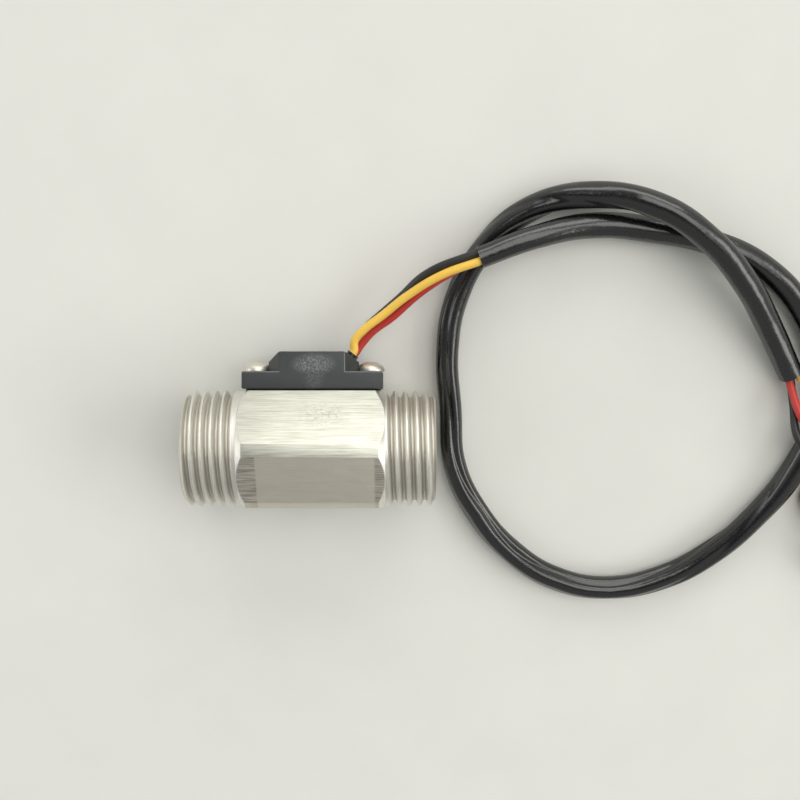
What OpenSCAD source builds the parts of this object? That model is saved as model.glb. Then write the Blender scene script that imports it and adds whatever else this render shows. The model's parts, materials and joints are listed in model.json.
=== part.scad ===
// Inline water flow sensor: a stainless hexagon body with a turbine inside,
// a plastic sensor cap on one flat and a lead that ends in a small plug.
// The body's own frame has X along the pipe from inlet to outlet,
// Y out of the flat that carries the cap, and its origin in the hexagon's middle.

/* [Hexagon body] */
// Width of the hexagon bar across its flats
hex_af = 21; // [21:0.1:22]
// Depth that the lathe takes off each corner of the hexagon
corner_cut = 0.624; // [0.3:0.001:0.8]
// Length of the hexagon between the feet of its end cones
hex_len = 26.1; // [26:0.1:30]
// Length of the cone turned on each end of the hexagon
cone_len = 1.1; // [0.6:0.1:1.6]

/* [Threaded ends] */
// Outside diameter of the pipe thread
thread_d = 20.956; // [20.5:0.001:20.98]
// Length of the threaded end on the inlet side
inlet_end_len = 9.95; // [8:0.05:14]
// Length of the threaded end on the outlet side
outlet_end_len = 8.95; // [6:0.05:14]
// Length of the chamfer on each thread's mouth
thread_chamfer = 1; // [0.5:0.1:1.2]

/* [Flow passage] */
// Bore from the inlet mouth to the inner shoulder
bore_d = 14.8; // [14.2:0.1:15.4]
// Smaller bore from the shoulder to the outlet mouth
outlet_bore_d = 13.2; // [12:0.1:13.8]
// Place of the shoulder along the pipe
shoulder_x = 12; // [11:0.1:13]
// Chamfer on the bore at each mouth
mouth_chamfer = 0.5; // [0.2:0.1:0.8]

/* [Retaining ring] */
// Thickness of the retaining ring
ring_t = 1; // [0.8:0.1:1.2]
// Depth of the ring's groove in the bore
groove_depth = 0.4; // [0.3:0.05:0.6]
// Radial width of the ring
ring_w = 1.15; // [0.9:0.05:1.4]
// Angle of the ring's gap
ring_gap = 50; // [40:1:60]
// Diameter of each eye at the ring's gap
ring_eye_d = 2.4; // [2:0.1:2.8]
// Hole in each eye
ring_eye_hole_d = 1.1; // [0.8:0.1:1.3]

/* [Guides and bearings] */
// Length of the inlet guide's outer ring
guide_len = 5; // [4:0.1:5.4]
// Length of the rear support's outer ring
support_len = 4.5; // [3:0.1:5]
// Radial wall of both outer rings
guide_wall = 0.8; // [0.6:0.1:1]
// Diameter of the hubs that carry the bearings
guide_hub_d = 4.8; // [4.6:0.1:5.4]
// Distance from the inlet guide's outer ring to the rotor end of its hub
guide_hub_reach = 1.2; // [1.1:0.1:1.6]
// Number of vanes between hub and ring
vane_count = 4; // [3:1:6]
// Thickness of each vane
vane_t = 0.8; // [0.6:0.1:1.2]
// Length of each vane along the pipe
vane_len = 3.6; // [2.5:0.1:3.8]
// Outside diameter of each bearing bush
bearing_d = 3.2; // [2.8:0.1:3.6]
// Length of each bearing bush
bearing_len = 2.4; // [2.2:0.1:3]
// Depth of the blind hole in each bearing
bearing_depth = 1.8; // [1.4:0.1:2]

/* [Rotor] */
// Diameter of the rotor's shaft
shaft_d = 1.5; // [1.2:0.1:1.8]
// Diameter of the rotor's hub
rotor_hub_d = 5.2; // [4.4:0.1:5.8]
// Length of the rotor's hub
rotor_hub_len = 12; // [11:0.1:12.6]
// Free space between hub and bearing at each end
rotor_end_gap = 1; // [0.4:0.1:1.4]
// Number of helical blades
blade_count = 4; // [4:2:6]
// Radial space between blade tips and bore
blade_tip_gap = 0.5; // [0.3:0.05:0.8]
// Thickness of each blade
blade_t = 0.9; // [0.7:0.05:1.2]
// Length of the blades along the shaft
blade_len = 10; // [7:0.1:11]
// Angle that a blade turns over its length
blade_twist = 100; // [60:1:120]
// Diameter of the magnet in each of two blades
magnet_d = 2.2; // [1.6:0.1:2.6]
// Length of each magnet
magnet_len = 3; // [2:0.1:3.2]
// Wall of the pod round each magnet
pod_wall = 0.45; // [0.3:0.05:0.7]

/* [Gasket] */
// Distance that the gasket stays back from each end of the cap
gasket_end_inset = 0.4; // [0.2:0.1:0.6]
// Distance that the gasket stays back from each side of the cap
gasket_side_inset = 1.5; // [0.8:0.1:1.8]
// Thickness of the gasket
gasket_t = 0.3; // [0.2:0.05:0.8]

/* [Sensor cap] */
// Length of the cap along the pipe
cap_len = 25; // [24.8:0.1:26]
// Width of the cap across the pipe
cap_w = 12; // [11:0.1:13]
// Height of the cap's flange
flange_h = 3.15; // [2.6:0.05:3.6]
// Height of the raised boss above the flange
boss_h = 3.5; // [3:0.1:4.5]
// Length of the boss along its top
boss_top_len = 11.74; // [11:0.02:12.4]
// Length of the boss between the feet of its hips
boss_foot_len = 21; // [20:0.1:22]
// Length of the boss between its two prows
boss_prow_len = 17.8; // [17.4:0.1:18.4]
// Radius on the flange's upright edges
flange_edge_r = 0.4; // [0.2:0.1:0.8]
// Length of the cavity in the cap
cavity_len = 11.6; // [11:0.1:12]
// Width of the cavity in the cap
cavity_w = 6.8; // [6.4:0.1:7]
// Height of the cavity above the cap's foot
cavity_h = 5.1; // [4.6:0.1:5.3]

/* [Circuit] */
// Thickness of the circuit board
board_t = 1; // [0.8:0.1:1.2]
// Length of the magnetic sensor
hall_len = 4.1; // [3.8:0.1:4.4]
// Width of the magnetic sensor
hall_w = 3; // [2.6:0.1:3.4]
// Thickness of the magnetic sensor
hall_t = 1.55; // [1.3:0.05:1.6]
// Pitch of the magnetic sensor's leads
hall_pitch = 1.27; // [1:0.01:1.3]
// Width of each lead
lead_w = 0.4; // [0.3:0.05:0.5]
// Length of the chip capacitor and the chip resistor
chip_len = 2; // [1.6:0.1:3.2]
// Width of the chip capacitor and the chip resistor
chip_w = 1.25; // [0.8:0.05:1.6]
// Height of the chip capacitor
capacitor_h = 0.9; // [0.6:0.05:1.2]
// Height of the chip resistor
resistor_h = 0.55; // [0.4:0.05:0.7]

/* [Screws] */
// Distance of each screw from the cap's end
screw_inset = 2.15; // [2:0.05:2.2]
// Diameter of the screw's thread
screw_d = 2.5; // [2:0.1:2.6]
// Steel left between the end of each screw hole and the bore
screw_end_wall = 0.45; // [0.3:0.05:1.2]
// Diameter of the screw's head
screw_head_d = 5; // [4:0.1:5.2]
// Height of the screw's head
screw_head_h = 2.1; // [1.4:0.1:2.2]
// Height of the head's straight rim below its dome
screw_rim_h = 0.9; // [0.4:0.1:1.1]
// Span of the cross recess
recess_span = 2.7; // [2:0.1:3]
// Width of each arm of the cross recess
recess_arm = 0.6; // [0.4:0.1:0.8]
// Depth of the cross recess
recess_depth = 1.1; // [0.8:0.1:1.2]

/* [Wires and sleeve] */
// Outside diameter of each wire
wire_d = 1.5; // [1.3:0.05:1.55]
// Outside diameter of the sleeve
sleeve_d = 4.8; // [4.4:0.1:4.8]
// Height of the sealing bead on the cap's hip
bead_h = 0.6; // [0.4:0.1:0.8]
// Width of the sealing bead down the hip
bead_w = 2.1; // [2:0.05:2.15]
// Length of the straight part of the sealing bead
bead_run = 3.2; // [3:0.1:3.4]

/* [Plug] */
// Width of the plug's housing
plug_w = 9.8; // [9.4:0.1:11]
// Height of the plug's housing as it lies
plug_h = 5.75; // [5:0.05:6.5]
// Length of the plug's housing
plug_len = 9; // [8:0.1:11]
// Distance between the plug's contacts
plug_pitch = 2.5; // [2.4:0.01:2.7]
// Length of each contact's box
contact_len = 4.5; // [3.5:0.1:5]
// Square hole through each contact's box
contact_hole = 0.9; // [0.7:0.05:1]
// Length of the barrel that clasps the wire
barrel_len = 2.2; // [1.6:0.1:2.6]
// Wall of the barrel
barrel_t = 0.12; // [0.1:0.01:0.14]

/* [Clearances] */
// Gap between pieces that are pressed or screwed together
seat_gap = 0.02; // [0.01:0.01:0.03]
// Radial gap between the shaft and its bearings
shaft_gap = 0.04; // [0.02:0.01:0.08]
// Radial gap between the guides and the bore
guide_gap = 0.03; // [0.02:0.01:0.06]
// End play of the shaft in each bearing
shaft_play = 0.2; // [0.1:0.05:0.3]
// Free space round the potting and the screw heads
free_gap = 0.2; // [0.15:0.05:0.25]
// Gap round the circuit board in the cap's cavity
board_gap = 0.15; // [0.1:0.05:0.3]
// Gap between the magnetic sensor and the circuit board
hall_gap = 0.15; // [0.1:0.05:0.3]
// Radial gap between each screw and the cap
cap_hole_gap = 0.15; // [0.1:0.05:0.2]
// Radial gap between each screw and the gasket
gasket_hole_gap = 0.2; // [0.1:0.05:0.25]
// Gap between the end of each screw and the bottom of its hole
screw_tip_gap = 0.1; // [0.05:0.05:0.3]
// Gap between each contact's barrel and its chamber
barrel_gap = 0.06; // [0.04:0.01:0.1]
// Gap between each contact's box and its chamber
contact_gap = 0.1; // [0.08:0.01:0.15]

/* [Hidden] */
$fn = 48;

// A cutter reaches this far past the face that it opens
past = 1;

// Body
corner_r = hex_af / 2 / cos(30) - corner_cut;
thread_r = thread_d / 2;
inlet_x = -hex_len / 2 - inlet_end_len;
outlet_x = hex_len / 2 + outlet_end_len;
bore_r = bore_d / 2;
outlet_bore_r = outlet_bore_d / 2;
flat_y = hex_af / 2;

// Row of pieces in the bore, from the outlet shoulder back to the inlet
support_x = shoulder_x - support_len;
bearing_x = rotor_hub_len / 2 + rotor_end_gap;
ring_x = -bearing_x - guide_hub_reach - guide_len;
ring_play = 0.02;
groove_w = ring_t + 2 * seat_gap + ring_play;
ring_eye_turn = 6;
ring_eye_lap = 0.2;
guide_ring_r = bore_r - guide_gap;
blade_r = bore_r - blade_tip_gap;
pod_r = magnet_d / 2 + pod_wall;
pod_top = sqrt(blade_r * blade_r - pod_r * pod_r);

// Heights above the body's flat
cap_z = gasket_t;
flange_z = cap_z + flange_h;
boss_z = flange_z + boss_h;
hall_z = 0.1;
board_z = hall_z + hall_t + hall_gap;
board_top = board_z + board_t;

// What the cap covers, and the screws that hold it
gasket_len = cap_len - 2 * gasket_end_inset;
gasket_w = cap_w - 2 * gasket_side_inset;
board_len = cavity_len - 2 * board_gap;
board_w = cavity_w - 2 * board_gap;
screw_x = cap_len / 2 - screw_inset;
screw_hole_depth = flat_y - bore_r - screw_end_wall;
screw_len = flange_z + screw_hole_depth - screw_tip_gap;
screw_tip_chamfer = 0.3;
cap_hole_d = screw_d + 2 * cap_hole_gap;
gasket_hole_d = screw_d + 2 * gasket_hole_gap;

// Chambers of the plug, from the wire's barrel outwards
barrel_d = wire_d + 2 * (seat_gap + barrel_t);
chamber_w = barrel_d + 2 * barrel_gap;
contact_w = chamber_w - 2 * contact_gap;
barrel_x = 1;

// The hips of the boss and the wires that leave the right one
hip_run = (boss_foot_len - boss_top_len) / 2;
hip_angle = atan2(boss_h, hip_run);
bead_u = 0.1 + bead_w / 2;
bead_v = -0.65;
wire_bore_d = wire_d + 0.1;

// Each wire's place on the hip: down the slope, across it, and where it meets the board
yellow_exit = [1, 1.1, board_len / 2 - 1.05];
red_exit = [1.3, -0.65, board_len / 2 - 0.85];
black_exit = [1, -2.4, board_len / 2 - 1.05];
exit_rise = 0.4;

// How the sensor lies: on a hexagon corner and on the boss's lower long edge
half_band = 30 - acos((hex_af / 2) / corner_r);
lean = atan2(corner_r * cos(half_band) - cap_w / 2, flat_y + boss_z - corner_r * sin(half_band));
axis_h = corner_r * cos(lean - half_band);
reach_hi = (flat_y + boss_z) * cos(lean) + cap_w / 2 * sin(lean);
reach_lo = corner_r * cos(max(0, 30 - lean - half_band));
lie = [-(inlet_x + outlet_x) / 2, (reach_lo - reach_hi) / 2, axis_h];

// Route of the sleeve on the table: its two ends cross over other turns
sleeve_route = [
  [30, 31, 7.8], [40, 34.5, 6.5], [50.5, 36, 3.6], [61.5, 35, 2.4], [72, 32.8, 2.4],
  [82, 28, 2.4], [90, 20, 2.4], [94.5, 10, 2.4], [95, -1, 2.4], [91.5, -11.5, 2.4],
  [85.5, -20.5, 2.4], [77.5, -28.5, 2.4], [68.5, -34, 2.4], [57.5, -36.5, 2.4],
  [47, -34.5, 2.4], [38, -28.5, 2.4], [31, -20, 2.4], [26.5, -10, 2.4], [25.65, 1, 2.4],
  [24.9, 12, 2.4], [26.5, 22.5, 2.4], [31.5, 32, 2.4], [40, 39, 2.4], [50.5, 41.5, 4],
  [61, 40, 7.2], [70, 34.5, 8], [77.5, 26.5, 7], [83.5, 17.5, 4.4], [89, 8, 2.4]
];

// Routes of the wires between the cap and the sleeve's mouth
yellow_route = [
  [7.9, 15.4, 6.4], [9.4, 17.3, 6.3], [13, 20.2, 6.3], [17.5, 24, 7], [23.5, 28, 8.2]
];
red_route = [
  [9, 14.3, 4.8], [11.2, 16.8, 4.6], [14.5, 19.3, 4.8], [19.5, 24, 5.6], [25, 28, 6.7]
];
black_route = [
  [8, 14, 3.2], [9.6, 16.7, 3.3], [12.5, 19.6, 3.9], [16, 23, 5], [21, 28, 6.8]
];

// Routes of the wires between the sleeve's far end and the plug
yellow_tail_route = [[92.5, 6, 5.5], [96, 2.5, 6.4], [99.5, -3, 5], [101.3, -10, 3.4]];
red_tail_route = [
  [90.4, 1.2, 5.6], [92.4, -2, 6.8], [95.5, -5, 6.4], [98, -9.5, 4.6], [98.8, -14.5, 3]
];
black_tail_route = [
  [89.8, 2.4, 3.2], [90.4, -3.4, 6], [94, -8, 6.2], [96, -13, 2.8], [94.6, -17.5, 1.2]
];

// The plug lies past the far end, turned about the upright
plug_at = [101, -24, 0];
plug_turn = -60;
plug_lead_in = 5;
wire_stop = 2.8;

// Where each wire sits in the sleeve's two ends: across and up from the sleeve's middle
yellow_seat = [0.45, 0.78];
red_seat = [0.45, -0.78];
black_seat = [-0.88, 0];
yellow_far_seat = [-0.8, 0.35];
red_far_seat = [0.75, 0.35];
black_far_seat = [0, -0.95];

// A point of the body's frame in the frame of the table
function on_table(p) = [
  p.x + lie.x,
  p.y * cos(lean) + p.z * sin(lean) + lie.y,
  p.z * cos(lean) - p.y * sin(lean) + lie.z
];

// A point that lies u down the right hip, v across it and w above it
function hip_point(u, v, w) = [
  boss_top_len / 2 + u * cos(hip_angle) + w * sin(hip_angle),
  flat_y + boss_z - u * sin(hip_angle) + w * cos(hip_angle),
  v
];

// How deep below the hip a wire runs square to it, until it is straight above the board
function exit_depth(e) = (boss_top_len / 2 + e.x * cos(hip_angle) - e.z) / sin(hip_angle);

// The stretch of a wire inside the cap, from the board to just above the sealing bead
function inner_route(e) = [
  [e.z, flat_y + board_top + seat_gap, e.y],
  hip_point(e.x, e.y, -exit_depth(e)),
  hip_point(e.x, e.y, bead_h + exit_rise)
];

function unit(v) = v / norm(v);
function clamp(i, low, high) = max(low, min(high, i));

// One ring of a tube: n points round p, square to the direction t
function tube_ring(p, t, r, n) =
  let (side = unit(cross(t, [0, 0, 1])), up = cross(side, t))
  [for (k = [0:n - 1]) p + r * (cos(360 * k / n) * side + sin(360 * k / n) * up)];

// Direction of a route at its point i
function route_dir(route, i) =
  let (last = len(route) - 1)
  unit(route[clamp(i + 1, 0, last)] - route[clamp(i - 1, 0, last)]);

// The sleeve's direction at its end i, and a wire's seat on that end, w past the end's face
function sleeve_dir(i) = route_dir(sleeve_route, i);
function sleeve_seat(i, seat, w) =
  let (t = sleeve_dir(i), side = unit(cross(t, [0, 0, 1])), up = cross(side, t))
  sleeve_route[i] + seat.x * side + seat.y * up + w * t;

// A tube of diameter d with n sides, swept along the route's points; the directions
// of its first and last faces may be given, so that they meet another face squarely
module tube(route, d, n, first_dir = undef, last_dir = undef) {
  last = len(route) - 1;
  first_t = is_undef(first_dir) ? route_dir(route, 0) : first_dir;
  last_t = is_undef(last_dir) ? route_dir(route, last) : last_dir;
  dirs = [for (i = [0:last]) i == 0 ? first_t : i == last ? last_t : route_dir(route, i)];
  points = [for (i = [0:last]) each tube_ring(route[i], dirs[i], d / 2, n)];
  sides = [
    for (i = [0:last - 1], k = [0:n - 1])
      let (a = i * n + k, b = i * n + (k + 1) % n)
      each [[a, b, b + n], [a, b + n, a + n]]
  ];
  caps = [[for (k = [n - 1:-1:0]) k], [for (k = [0:n - 1]) last * n + k]];
  polyhedron(points = points, faces = concat(sides, caps));
}

// Lays what is built in the body's frame on the table
module laid() {
  translate(lie) rotate([-lean, 0, 0]) children();
}

// Turns a shape built up along Z so that it runs along the pipe
module along_pipe() {
  rotate([0, 90, 0]) children();
}

// Stands a shape built up along Z on the flat that carries the cap
module on_flat() {
  translate([0, flat_y, 0]) rotate([-90, 0, 0]) children();
}

// Stands a shape built up along Z on the right hip, u down the slope and v across it
module on_hip(u, v) {
  translate([boss_top_len / 2, 0, boss_z])
    rotate([0, hip_angle, 0])
      translate([u, -v, 0])
        children();
}

// A disc or rod along the pipe between two places
module rod(x0, x1, r) {
  translate([x0, 0, 0]) along_pipe() cylinder(h = x1 - x0, r = r);
}

module round_plate(l, w, h, r) {
  linear_extrude(h)
    union() {
      square([l - 2 * r, w], center = true);
      square([l, w - 2 * r], center = true);
      for (sx = [-1, 1], sy = [-1, 1])
        translate([sx * (l / 2 - r), sy * (w / 2 - r)]) circle(r);
    }
}

// Outline that the lathe leaves: thread, cone, corner, cone and thread
module turned_bar() {
  mouth_r = thread_r - thread_chamfer;
  foot = hex_len / 2;
  shoulder = foot - cone_len;
  along_pipe()
    rotate_extrude()
      polygon([
        [0, inlet_x], [mouth_r, inlet_x], [thread_r, inlet_x + thread_chamfer],
        [thread_r, -foot], [corner_r, -shoulder], [corner_r, shoulder], [thread_r, foot],
        [thread_r, outlet_x - thread_chamfer], [mouth_r, outlet_x], [0, outlet_x]
      ]);
}

// Everything that the drill takes out along the pipe
module flow_passage() {
  rod(inlet_x - past, shoulder_x, bore_r);
  rod(shoulder_x - past, outlet_x + past, outlet_bore_r);
  translate([inlet_x - past, 0, 0]) along_pipe()
    cylinder(h = past + mouth_chamfer, r1 = bore_r + mouth_chamfer + past, r2 = bore_r);
  translate([outlet_x - mouth_chamfer, 0, 0]) along_pipe()
    cylinder(
      h = past + mouth_chamfer, r1 = outlet_bore_r, r2 = outlet_bore_r + mouth_chamfer + past
    );
  rod(ring_x - groove_w, ring_x + seat_gap, bore_r + groove_depth);
}

module body() {
  color("#c8c5b8")
    laid()
      difference() {
        intersection() {
          turned_bar();
          translate([inlet_x - past, 0, 0]) along_pipe()
            cylinder(h = outlet_x - inlet_x + 2 * past, d = hex_af / cos(30), $fn = 6);
        }
        flow_passage();
        on_flat()
          for (s = [-1, 1])
            translate([s * screw_x, 0, -screw_hole_depth])
              cylinder(h = screw_hole_depth + past, d = screw_d + 2 * seat_gap);
      }
}

// Outer ring, vanes and bearing hub of a guide that begins at x = 0 and looks upstream
module vaned_ring(l, hub_from, hub_to, nose_r) {
  difference() {
    union() {
      difference() {
        rod(0, l, guide_ring_r);
        rod(-past, l + past, guide_ring_r - guide_wall);
      }
      rod(hub_from, hub_to, guide_hub_d / 2);
      translate([hub_from, 0, 0]) sphere(nose_r);
      for (k = [0:vane_count - 1])
        rotate([360 * k / vane_count, 0, 0])
          translate([(l - vane_len) / 2, 0, -vane_t / 2])
            cube([vane_len, guide_ring_r - guide_wall / 2, vane_t]);
    }
    rod(hub_to - bearing_len - seat_gap, hub_to + past, bearing_d / 2 + seat_gap);
  }
}

module inlet_guide() {
  color("#e8e6df")
    laid()
      translate([ring_x + seat_gap, 0, 0])
        vaned_ring(
          guide_len, guide_hub_d / 4, -bearing_x - ring_x - seat_gap, guide_hub_d / 2
        );
}

module rear_support() {
  color("#e8e6df")
    laid()
      translate([shoulder_x - seat_gap, 0, 0])
        mirror([1, 0, 0])
          vaned_ring(
            support_len, guide_hub_d / 4, shoulder_x - seat_gap - bearing_x, guide_hub_d / 2
          );
}

// A bush with a blind hole, its open face towards the rotor
module bearing() {
  difference() {
    rod(bearing_x, bearing_x + bearing_len, bearing_d / 2);
    rod(bearing_x - past, bearing_x + bearing_depth, shaft_d / 2 + shaft_gap);
  }
}

module front_bearing() {
  color("#b3472f") laid() mirror([1, 0, 0]) bearing();
}

module rear_bearing() {
  color("#b3472f") laid() bearing();
}

// A helical blade whose middle section points along Z
module blade() {
  turn = blade_twist / 2;
  along_pipe()
    translate([0, 0, -blade_len / 2])
      rotate([0, 0, 180 + turn])
        linear_extrude(height = blade_len, twist = blade_twist, slices = 10, $fn = 16)
          translate([rotor_hub_d / 4, -blade_t / 2])
            square([blade_r - rotor_hub_d / 4 - seat_gap, blade_t]);
}

module rotor() {
  color("#f1efe8")
    laid()
      difference() {
        union() {
          rod(-rotor_hub_len / 2, rotor_hub_len / 2, rotor_hub_d / 2);
          for (k = [0:blade_count - 1])
            rotate([360 * k / blade_count, 0, 0]) blade();
          for (s = [0, 180])
            rotate([s, 0, 0]) cylinder(h = pod_top, r = pod_r);
        }
        rod(-rotor_hub_len, rotor_hub_len, shaft_d / 2 + seat_gap);
        for (s = [0, 180])
          rotate([s, 0, 0])
            translate([0, 0, pod_top - magnet_len - seat_gap])
              cylinder(h = magnet_len + past, d = magnet_d + 2 * seat_gap);
      }
}

module rotor_shaft() {
  half = bearing_x + bearing_depth - shaft_play;
  color("#d5d6d8") laid() rod(-half, half, shaft_d / 2);
}

module magnet(turn) {
  color("#8f9296")
    laid()
      rotate([turn, 0, 0])
        translate([0, 0, pod_top - magnet_len])
          cylinder(h = magnet_len, d = magnet_d);
}

// Spring ring with two eyes, in its groove
module retaining_ring() {
  outer_r = bore_r + groove_depth - seat_gap;
  inner_r = outer_r - ring_w;
  eye_r = inner_r + ring_w / 2 - ring_eye_d / 2 + ring_eye_lap;
  color("#7d8084")
    laid()
      translate([ring_x - ring_t - seat_gap, 0, 0])
        along_pipe()
          difference() {
            union() {
              rotate([0, 0, 90 + ring_gap / 2])
                rotate_extrude(angle = 360 - ring_gap)
                  translate([inner_r, 0]) square([ring_w, ring_t]);
              for (s = [-1, 1])
                rotate([0, 0, 90 + s * (ring_gap / 2 + ring_eye_turn)])
                  translate([eye_r, 0, 0]) cylinder(h = ring_t, d = ring_eye_d);
            }
            for (s = [-1, 1])
              rotate([0, 0, 90 + s * (ring_gap / 2 + ring_eye_turn)])
                translate([eye_r, 0, -past])
                  cylinder(h = ring_t + 2 * past, d = ring_eye_hole_d);
          }
}

module gasket() {
  color("#2b2b2b")
    laid()
      on_flat()
        difference() {
          round_plate(gasket_len, gasket_w, gasket_t, gasket_w / 4);
          translate([0, 0, gasket_t / 2])
            cube([cavity_len, cavity_w, gasket_t + past], center = true);
          for (s = [-1, 1])
            translate([s * screw_x, 0, -past])
              cylinder(h = gasket_t + 2 * past, d = gasket_hole_d);
        }
}

// Raised boss: its plan comes to a prow at each end, and a hip slopes down to each screw
module boss() {
  top = boss_top_len / 2;
  foot = boss_foot_len / 2;
  prow = boss_prow_len / 2;
  side = cap_w / 2;
  intersection() {
    translate([0, 0, flange_z - past])
      linear_extrude(boss_h + past)
        polygon([
          [prow, 0], [top, side], [-top, side], [-prow, 0], [-top, -side], [top, -side]
        ]);
    rotate([90, 0, 0])
      linear_extrude(cap_w, center = true)
        polygon([
          [-foot, cap_z], [foot, cap_z], [foot, flange_z], [top, boss_z], [-top, boss_z],
          [-foot, flange_z]
        ]);
  }
}

module wire_bores() {
  for (e = [yellow_exit, red_exit, black_exit])
    on_hip(e.x, e.y)
      translate([0, 0, -exit_depth(e)])
        cylinder(h = exit_depth(e) + bead_h + past, d = wire_bore_d);
}

module sensor_housing() {
  color("#4f5251")
    laid()
      on_flat()
        difference() {
          union() {
            translate([0, 0, cap_z]) round_plate(cap_len, cap_w, flange_h, flange_edge_r);
            boss();
          }
          translate([-cavity_len / 2, -cavity_w / 2, cap_z - past])
            cube([cavity_len, cavity_w, cavity_h + past]);
          for (s = [-1, 1])
            translate([s * screw_x, 0, 0]) {
              cylinder(h = boss_z, d = cap_hole_d);
              translate([0, 0, flange_z])
                cylinder(h = boss_h + past, d = screw_head_d + 2 * free_gap);
            }
          wire_bores();
        }
}

module circuit_board() {
  color("#2f6b3c")
    laid()
      on_flat()
        translate([-board_len / 2, -board_w / 2, board_z])
          cube([board_len, board_w, board_t]);
}

// The magnetic sensor, grown by g on every side to cut its bed in the potting
module hall_shape(g) {
  translate([-hall_len / 2 - g, -hall_w / 2 - g, hall_z - g])
    cube([hall_len + 2 * g, hall_w + 2 * g, hall_t + 2 * g]);
  for (k = [-1:1])
    translate([hall_len / 2 - g, k * hall_pitch - lead_w / 2 - g, hall_z + hall_t / 2]) {
      translate([0, 0, -g]) cube([3 * lead_w + 2 * g, lead_w + 2 * g, lead_w + 2 * g]);
      translate([2 * lead_w, 0, -g])
        cube([lead_w + 2 * g, lead_w + 2 * g, board_z - hall_z - hall_t / 2 + g]);
    }
}

module hall_sensor() {
  color("#262626") laid() on_flat() hall_shape(0);
}

// A chip part on the board's top, x0 from its middle
module chip(x0, y0, h) {
  translate([x0 - chip_len / 2, y0 - chip_w / 2, board_top]) cube([chip_len, chip_w, h]);
}

module capacitor() {
  color("#b08d57") laid() on_flat() chip(-board_len / 4, -board_w / 5, capacitor_h);
}

module resistor() {
  color("#1d1d1d") laid() on_flat() chip(-board_len / 4, board_w / 5, resistor_h);
}

module potting() {
  bed = cap_z + seat_gap;
  color("#141414")
    laid()
      on_flat()
        difference() {
          translate([-(cavity_len - free_gap) / 2, -(cavity_w - free_gap) / 2, bed])
            cube([cavity_len - free_gap, cavity_w - free_gap, board_z - bed]);
          hall_shape(seat_gap);
        }
}

module wire_seal() {
  color("#1c1c1c")
    laid()
      on_flat()
        difference() {
          on_hip(bead_u, bead_v)
            linear_extrude(bead_h)
              union() {
                square([bead_w, bead_run], center = true);
                for (s = [-1, 1])
                  translate([0, s * bead_run / 2]) circle(d = bead_w);
              }
          wire_bores();
        }
}

// Pan head screw with its seat at z = 0 and its tip down
module pan_screw() {
  head_r = screw_head_d / 2;
  dome_h = screw_head_h - screw_rim_h;
  dome_top_r = head_r * 0.55;
  difference() {
    rotate_extrude()
      polygon(concat(
        [
          [0, -screw_len],
          [screw_d / 2 - screw_tip_chamfer, -screw_len],
          [screw_d / 2, -screw_len + screw_tip_chamfer]
        ],
        [[screw_d / 2, 0], [head_r, 0]],
        [
          for (a = [0:15:90])
            [dome_top_r + (head_r - dome_top_r) * cos(a), screw_rim_h + dome_h * sin(a)]
        ],
        [[0, screw_head_h]]
      ));
    for (a = [0, 90])
      rotate([0, 0, a])
        translate([-recess_span / 2, -recess_arm / 2, screw_head_h - recess_depth])
          cube([recess_span, recess_arm, recess_depth + past]);
  }
}

module screw(side, turn) {
  color("#b9b8b2")
    laid()
      on_flat()
        translate([side * screw_x, 0, flange_z])
          rotate([0, 0, turn]) pan_screw();
}

// One wire from the board through the hip to the sleeve's mouth
module near_wire(exit, route, seat) {
  inner = [for (p = inner_route(exit)) on_table(p)];
  end = sleeve_seat(0, seat, -seat_gap);
  tube(concat(inner, route, [end]), wire_d, 8, last_dir = sleeve_dir(0));
}

module yellow_wire() {
  color("#f4c95f") near_wire(yellow_exit, yellow_route, yellow_seat);
}

module red_wire() {
  color("#c43c33") near_wire(red_exit, red_route, red_seat);
}

module black_wire() {
  color("#2b2c2c") near_wire(black_exit, black_route, black_seat);
}

module cable_sleeve() {
  color("#1f2120") tube(sleeve_route, sleeve_d, 10);
}

// The plug's own frame: X from its wire side to its mating side
function plug_point(p) =
  plug_at + [
    p.x * cos(plug_turn) - p.y * sin(plug_turn),
    p.x * sin(plug_turn) + p.y * cos(plug_turn),
    p.z
  ];

module in_plug() {
  translate(plug_at) rotate([0, 0, plug_turn]) children();
}

module connector_housing() {
  color("#eceae2")
    in_plug()
      difference() {
        translate([0, -plug_w / 2, 0]) cube([plug_len, plug_w, plug_h]);
        for (k = [-1:1])
          translate([-past, k * plug_pitch - chamber_w / 2, (plug_h - chamber_w) / 2])
            cube([plug_len + 2 * past, chamber_w, chamber_w]);
      }
}

module crimp_terminal(k) {
  box_x = barrel_x + barrel_len - seat_gap;
  color("#c9c6bd")
    in_plug()
      translate([0, k * plug_pitch, plug_h / 2])
        difference() {
          union() {
            rod(barrel_x, box_x + seat_gap, barrel_d / 2);
            translate([box_x, -contact_w / 2, -contact_w / 2])
              cube([contact_len, contact_w, contact_w]);
          }
          rod(barrel_x - past, box_x, wire_d / 2 + seat_gap);
          translate([box_x + barrel_t, -contact_hole / 2, -contact_hole / 2])
            cube([contact_len, contact_hole, contact_hole]);
        }
}

// One wire from the sleeve's far end over the outer turn and into the plug
module far_wire(k, seat, route) {
  last = len(sleeve_route) - 1;
  start = sleeve_seat(last, seat, seat_gap);
  lead_in = [for (x = [-plug_lead_in, wire_stop]) plug_point([x, k * plug_pitch, plug_h / 2])];
  tube(concat([start], route, lead_in), wire_d, 8, first_dir = sleeve_dir(last));
}

module yellow_tail() {
  color("#f4c95f") far_wire(1, yellow_far_seat, yellow_tail_route);
}

module red_tail() {
  color("#c43c33") far_wire(0, red_far_seat, red_tail_route);
}

module black_tail() {
  color("#2b2c2c") far_wire(-1, black_far_seat, black_tail_route);
}

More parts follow.
